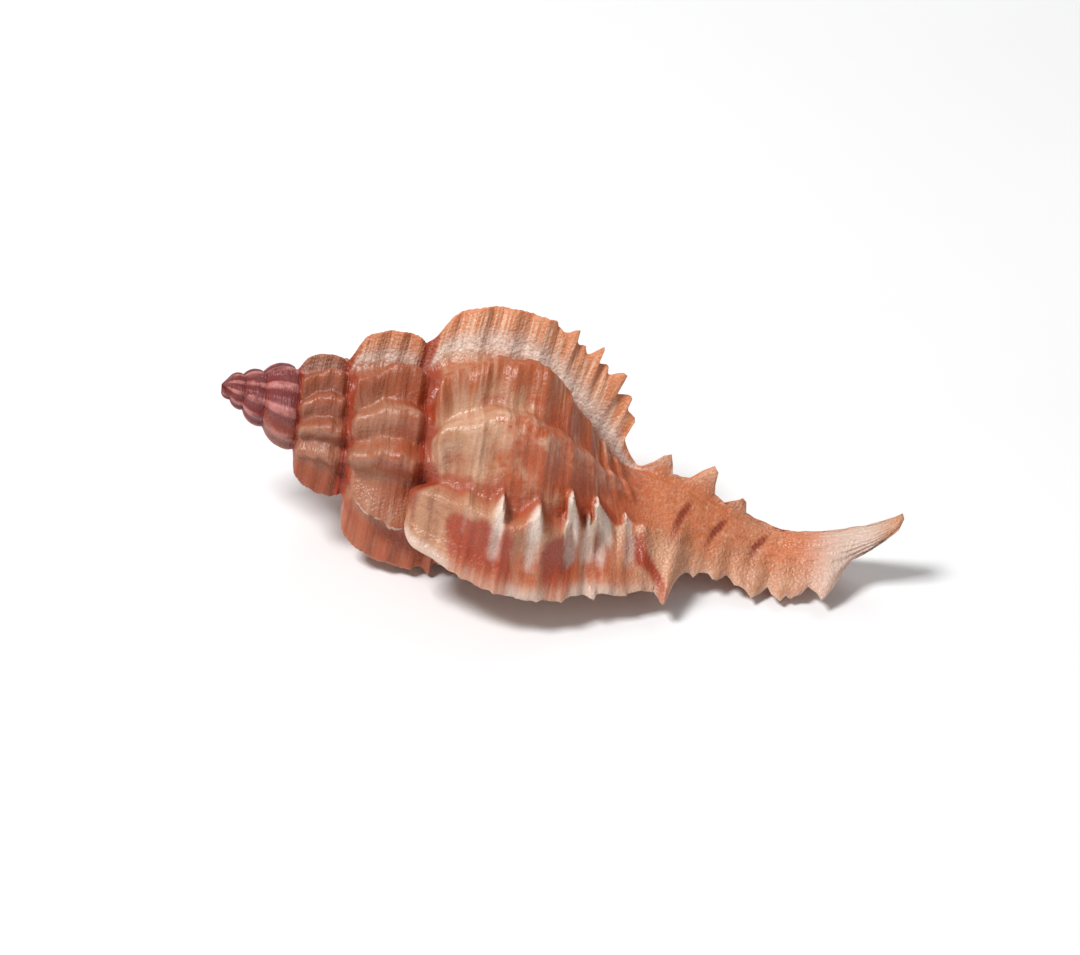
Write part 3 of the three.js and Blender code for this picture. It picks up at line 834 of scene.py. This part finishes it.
def shell_material():
    n = Nodes("murex_shell")
    spiral, growth_age, distance = n.mask("spiral"), n.mask("growth"), n.mask("distance")
    flange, front = n.mask("flange"), n.mask("front")
    rib, crest, pocket, scale = n.mask("rib"), n.mask("crest"), n.mask("pocket"), n.mask("scale")
    groove, canal, seam, inside = n.mask("groove"), n.mask("canal"), n.mask("seam"), n.mask("inside")
    lip, later_rib, fold, patch = n.mask("lip"), n.mask("later_rib"), n.mask("fold"), n.mask("patch")
    blade, ledge = n.mask("blade"), n.mask("ledge")
    broad, middling, small = n.noise(5.0, 4, 0.6), n.noise(1.6, 4, 0.65), n.noise(0.42, 4, 0.7)
    specks = n.grains(0.26)

    thread_wave = n.threads(THREAD, THREAD_RUN)
    thread = n.step(thread_wave, 0.45, 0.68)
    streak = n.step(n.threads(0.36, 60, 2.0), 0.45, 0.6)

    patchy = n.plus(broad, n.times(middling, 0.5), n.times(spiral, -0.028))
    colour = n.mix(RUSSET, BEIGE, n.step(patchy, -0.16, 0.08))
    colour = n.mix(colour, TAN, n.times(n.step(rib, 0.2, 0.85), n.step(later_rib, 0.8, 0.2), 0.9))
    pale = n.times(n.step(later_rib, 0.2, 0.8), n.step(n.plus(middling, n.times(broad, 0.5)), 0.6, 0.95))
    colour = n.mix(colour, CREAM, n.times(pale, 0.3))
    colour = n.mix(colour, CREAM, n.times(thread, n.step(broad, 0.35, 0.6), 0.3))
    rusty = n.times(n.step(n.noise(3.2, 3, 0.6), 0.5, 0.68), n.step(rib, 0.8, 0.2))
    colour = n.mix(colour, BRICK, n.times(rusty, 0.45))

    # Frills: cream along the folds, painted shade in brick red in the pockets beside the crests, and brick
    # red bands towards the lip
    colour = n.mix(colour, BEIGE, n.times(n.step(crest, 0.1, 0.6), 0.5))
    scaly = n.step(n.plus(scale, n.times(middling, 0.8)), 0.4, 0.9)
    colour = n.mix(colour, CREAM, n.times(n.step(crest, 0.3, 1.2), scaly, 0.75))
    # Painted shade: brick red darkens the pockets beside the crests, where shadow falls
    colour = n.mix(colour, BRICK, n.times(n.step(pocket, 0.12, 0.6), 0.6))
    ragged = n.plus(patch, n.times(middling, 1.2), n.times(thread_wave, 0.5))
    colour = n.mix(colour, BRICK, n.times(n.step(ragged, 1.0, 1.5), 0.9))
    ledge_coat = n.mix(DUSK, BEIGE, n.step(n.plus(thread_wave, n.times(small, 0.5)), 0.55, 0.85))
    colour = n.mix(colour, ledge_coat, n.times(n.step(ledge, 0.1, 0.6), 0.75))
    colour = n.mix(colour, WHITE, n.times(n.step(n.plus(fold, n.times(middling, 0.5)), 0.4, 1.0), 0.75))

    # Flanges: white and granular on the front near the whorl, orange towards the toothed edge
    granular = n.mix(GREY, WHITE, n.step(small, 0.4, 0.65))
    colour = n.mix(colour, granular, n.times(n.step(front, 0.06, 0.3), 0.85))
    orange = n.mix(ORANGE, CREAM, n.times(streak, n.step(flange, 1.0, 0.8), 0.6))
    colour = n.mix(colour, orange, n.times(n.step(flange, 0.35, 0.75), n.step(front, 0.0, 0.3, 0.55, 0.95)))
    old_back = n.times(n.step(flange, 0.2, 0.6), n.step(front, 0.2, 0.0), n.step(growth_age, 0.85, 0.95))
    colour = n.mix(colour, BRICK, n.times(old_back, 0.85))
    colour = n.mix(colour, GREY, n.times(lip, n.step(patch, 0.9, 0.3, 0.35, 1.0), 0.9))

    # Canal
    coat = n.mix(CANAL, BEIGE, n.times(n.step(n.plus(broad, n.times(blade, 0.3)), 0.45, 0.75), 0.6))
    coat = n.mix(coat, CREAM, n.times(n.step(small, 0.52, 0.72), 0.35))
    coat = n.mix(coat, BRICK, n.times(n.step(middling, 0.58, 0.75), n.step(distance, 52, 46), 0.4))
    away_from_lip = n.step(growth_age, 0.15, 0.28, 0.3, 1.0)
    coat = n.mix(coat, CREAM, n.times(n.step(blade, 0.45, 1.0), away_from_lip, 0.7))
    coat = n.mix(coat, GREY, n.step(distance, 53, 57))
    coat = n.mix(coat, OCHRE, n.times(n.step(distance, 58.5, 61), 0.8))
    colour = n.mix(colour, coat, n.times(canal, n.step(flange, 1.0, 0.3, 0.35, 0.9), n.step(patch, 0.9, 0.2)))
    colour = n.mix(colour, DEEP, n.times(n.step(groove, 0.25, 0.8), 0.85))

    # Older whorls turn brown, and wine red at the apex
    behind = n.step(front, 0.3, 0.0, 0.5, 1.0)
    colour = n.mix(colour, UMBER, n.times(n.step(growth_age, 0.8, 1.05), behind, 0.65))
    colour = n.mix(colour, DUSK, n.times(n.step(growth_age, 1.7, 2.2), n.step(rib, 1.2, 0.2), 0.75))
    old = n.mix(WINE, MAUVE, n.times(n.step(rib, 0.5, 0.95), n.step(middling, 0.35, 0.6)))
    colour = n.mix(colour, old, n.step(n.plus(growth_age, n.times(middling, 0.3)), 2.95, 3.3))
    colour = n.mix(colour, EMBER, n.times(n.step(seam, 0.3, 0.85), n.step(growth_age, 3.2, 2.6, 0.1, 0.85)))

    colour = n.mix(colour, LINING, n.step(inside, 0.1, 0.5))
    colour = n.mix(colour, CREAM, n.times(n.step(specks, 0.22, 0.05), n.step(small, 0.45, 0.6), 0.3))
    colour = n.mix(colour, DEEP, n.times(n.step(small, 0.42, 0.3), n.step(inside, 0.3, 0.0), 0.3))
    n.put(n.shader.inputs["Base Color"], colour)

    rough = n.step(middling, 0.3, 0.7, 0.3, 0.5)
    n.put(n.shader.inputs["Roughness"], n.plus(rough, n.times(n.step(front, 0.1, 0.4), 0.12)))
    n.put(n.shader.inputs["Specular IOR Level"], 0.55)
    n.put(n.shader.inputs["Subsurface Weight"], 0.12)
    n.put(n.shader.inputs["Subsurface Radius"], (1.0, 0.45, 0.3))
    n.put(n.shader.inputs["Subsurface Scale"], 0.0009)

    outer = n.step(inside, 0.5, 0.1)
    grain = n.times(n.plus(n.times(specks, -1.1), n.times(small, 0.9)), outer)
    graininess = n.plus(n.times(n.step(front, 0.05, 0.3), 0.5), n.times(canal, 0.4), n.times(crest, 0.4), 0.4)
    normal = n.bump(n.times(grain, graininess), 0.07)
    normal = n.bump(n.times(thread_wave, outer, n.step(canal, 0.6, 0.2)), 0.1, normal)
    normal = n.bump(middling, 0.16, normal)
    n.put(n.shader.inputs["Normal"], normal)
    return n.material


def floor_material():
    n = Nodes("floor")
    colour = n.mix(linear(243, 243, 243), linear(238, 238, 239), n.noise(40, 2, 0.5))
    n.put(n.shader.inputs["Base Color"], colour)
    n.put(n.shader.inputs["Roughness"], 0.75)
    return n.material


def area_light(name, azimuth, elevation, size, energy):
    """A square soft light aimed at the shell. Azimuth 0 is the camera's side, and it grows to the left."""
    a, e = math.radians(azimuth), math.radians(elevation)
    data = bpy.data.lights.new(name, "AREA")
    data.shape = "SQUARE"
    data.size, data.energy = size, energy
    light = bpy.data.objects.new(name, data)
    towards = Vector((-math.sin(a) * math.cos(e), -math.cos(a) * math.cos(e), math.sin(e)))
    light.location = LIGHT_DISTANCE * towards
    light.rotation_euler = (-light.location).to_track_quat("-Z", "Y").to_euler()
    bpy.context.scene.collection.objects.link(light)


def camera():
    """The camera at the photograph's angle, far off, and turned so that the canal points a little down."""
    e = math.radians(CAMERA_ELEVATION)
    data = bpy.data.cameras.new("camera")
    data.sensor_width = 36
    data.lens = data.sensor_width * CAMERA_DISTANCE / VIEW_WIDTH
    data.clip_start, data.clip_end = 0.01, 10
    view = Vector((0, math.cos(e), -math.sin(e)))
    right, up = Vector((1, 0, 0)), Vector((0, math.sin(e), math.cos(e)))
    eye = bpy.data.objects.new("camera", data)
    low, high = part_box("murex_shell")
    aim = (low + high) / 2 + right * AIM_RIGHT + up * AIM_UP
    eye.location = aim - view * CAMERA_DISTANCE
    roll = Euler((0, 0, math.radians(CAMERA_ROLL))).to_matrix()
    eye.rotation_euler = (view.to_track_quat("-Z", "Y").to_matrix() @ roll).to_euler()
    bpy.context.scene.collection.objects.link(eye)
    bpy.context.scene.camera = eye


shell_object = build_shell()
shell_object.data.materials.append(shell_material())
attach(shell_object, "root")
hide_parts("murex_shell")

bpy.ops.mesh.primitive_plane_add(size=4)
floor = bpy.context.object
floor.name = "floor"
floor.data.materials.append(floor_material())

area_light("key", 60, 58, 0.14, 2.5)
area_light("fill", -40, 35, 0.5, 0.25)
area_light("back", 190, 45, 0.3, 0.5)
world = bpy.data.worlds.new("studio")
world.use_nodes = True
world.node_tree.nodes["Background"].inputs["Color"].default_value = (1, 1, 1, 1)
world.node_tree.nodes["Background"].inputs["Strength"].default_value = 0.24
bpy.context.scene.view_settings.view_transform = "Standard"
bpy.context.scene.world = world

camera()
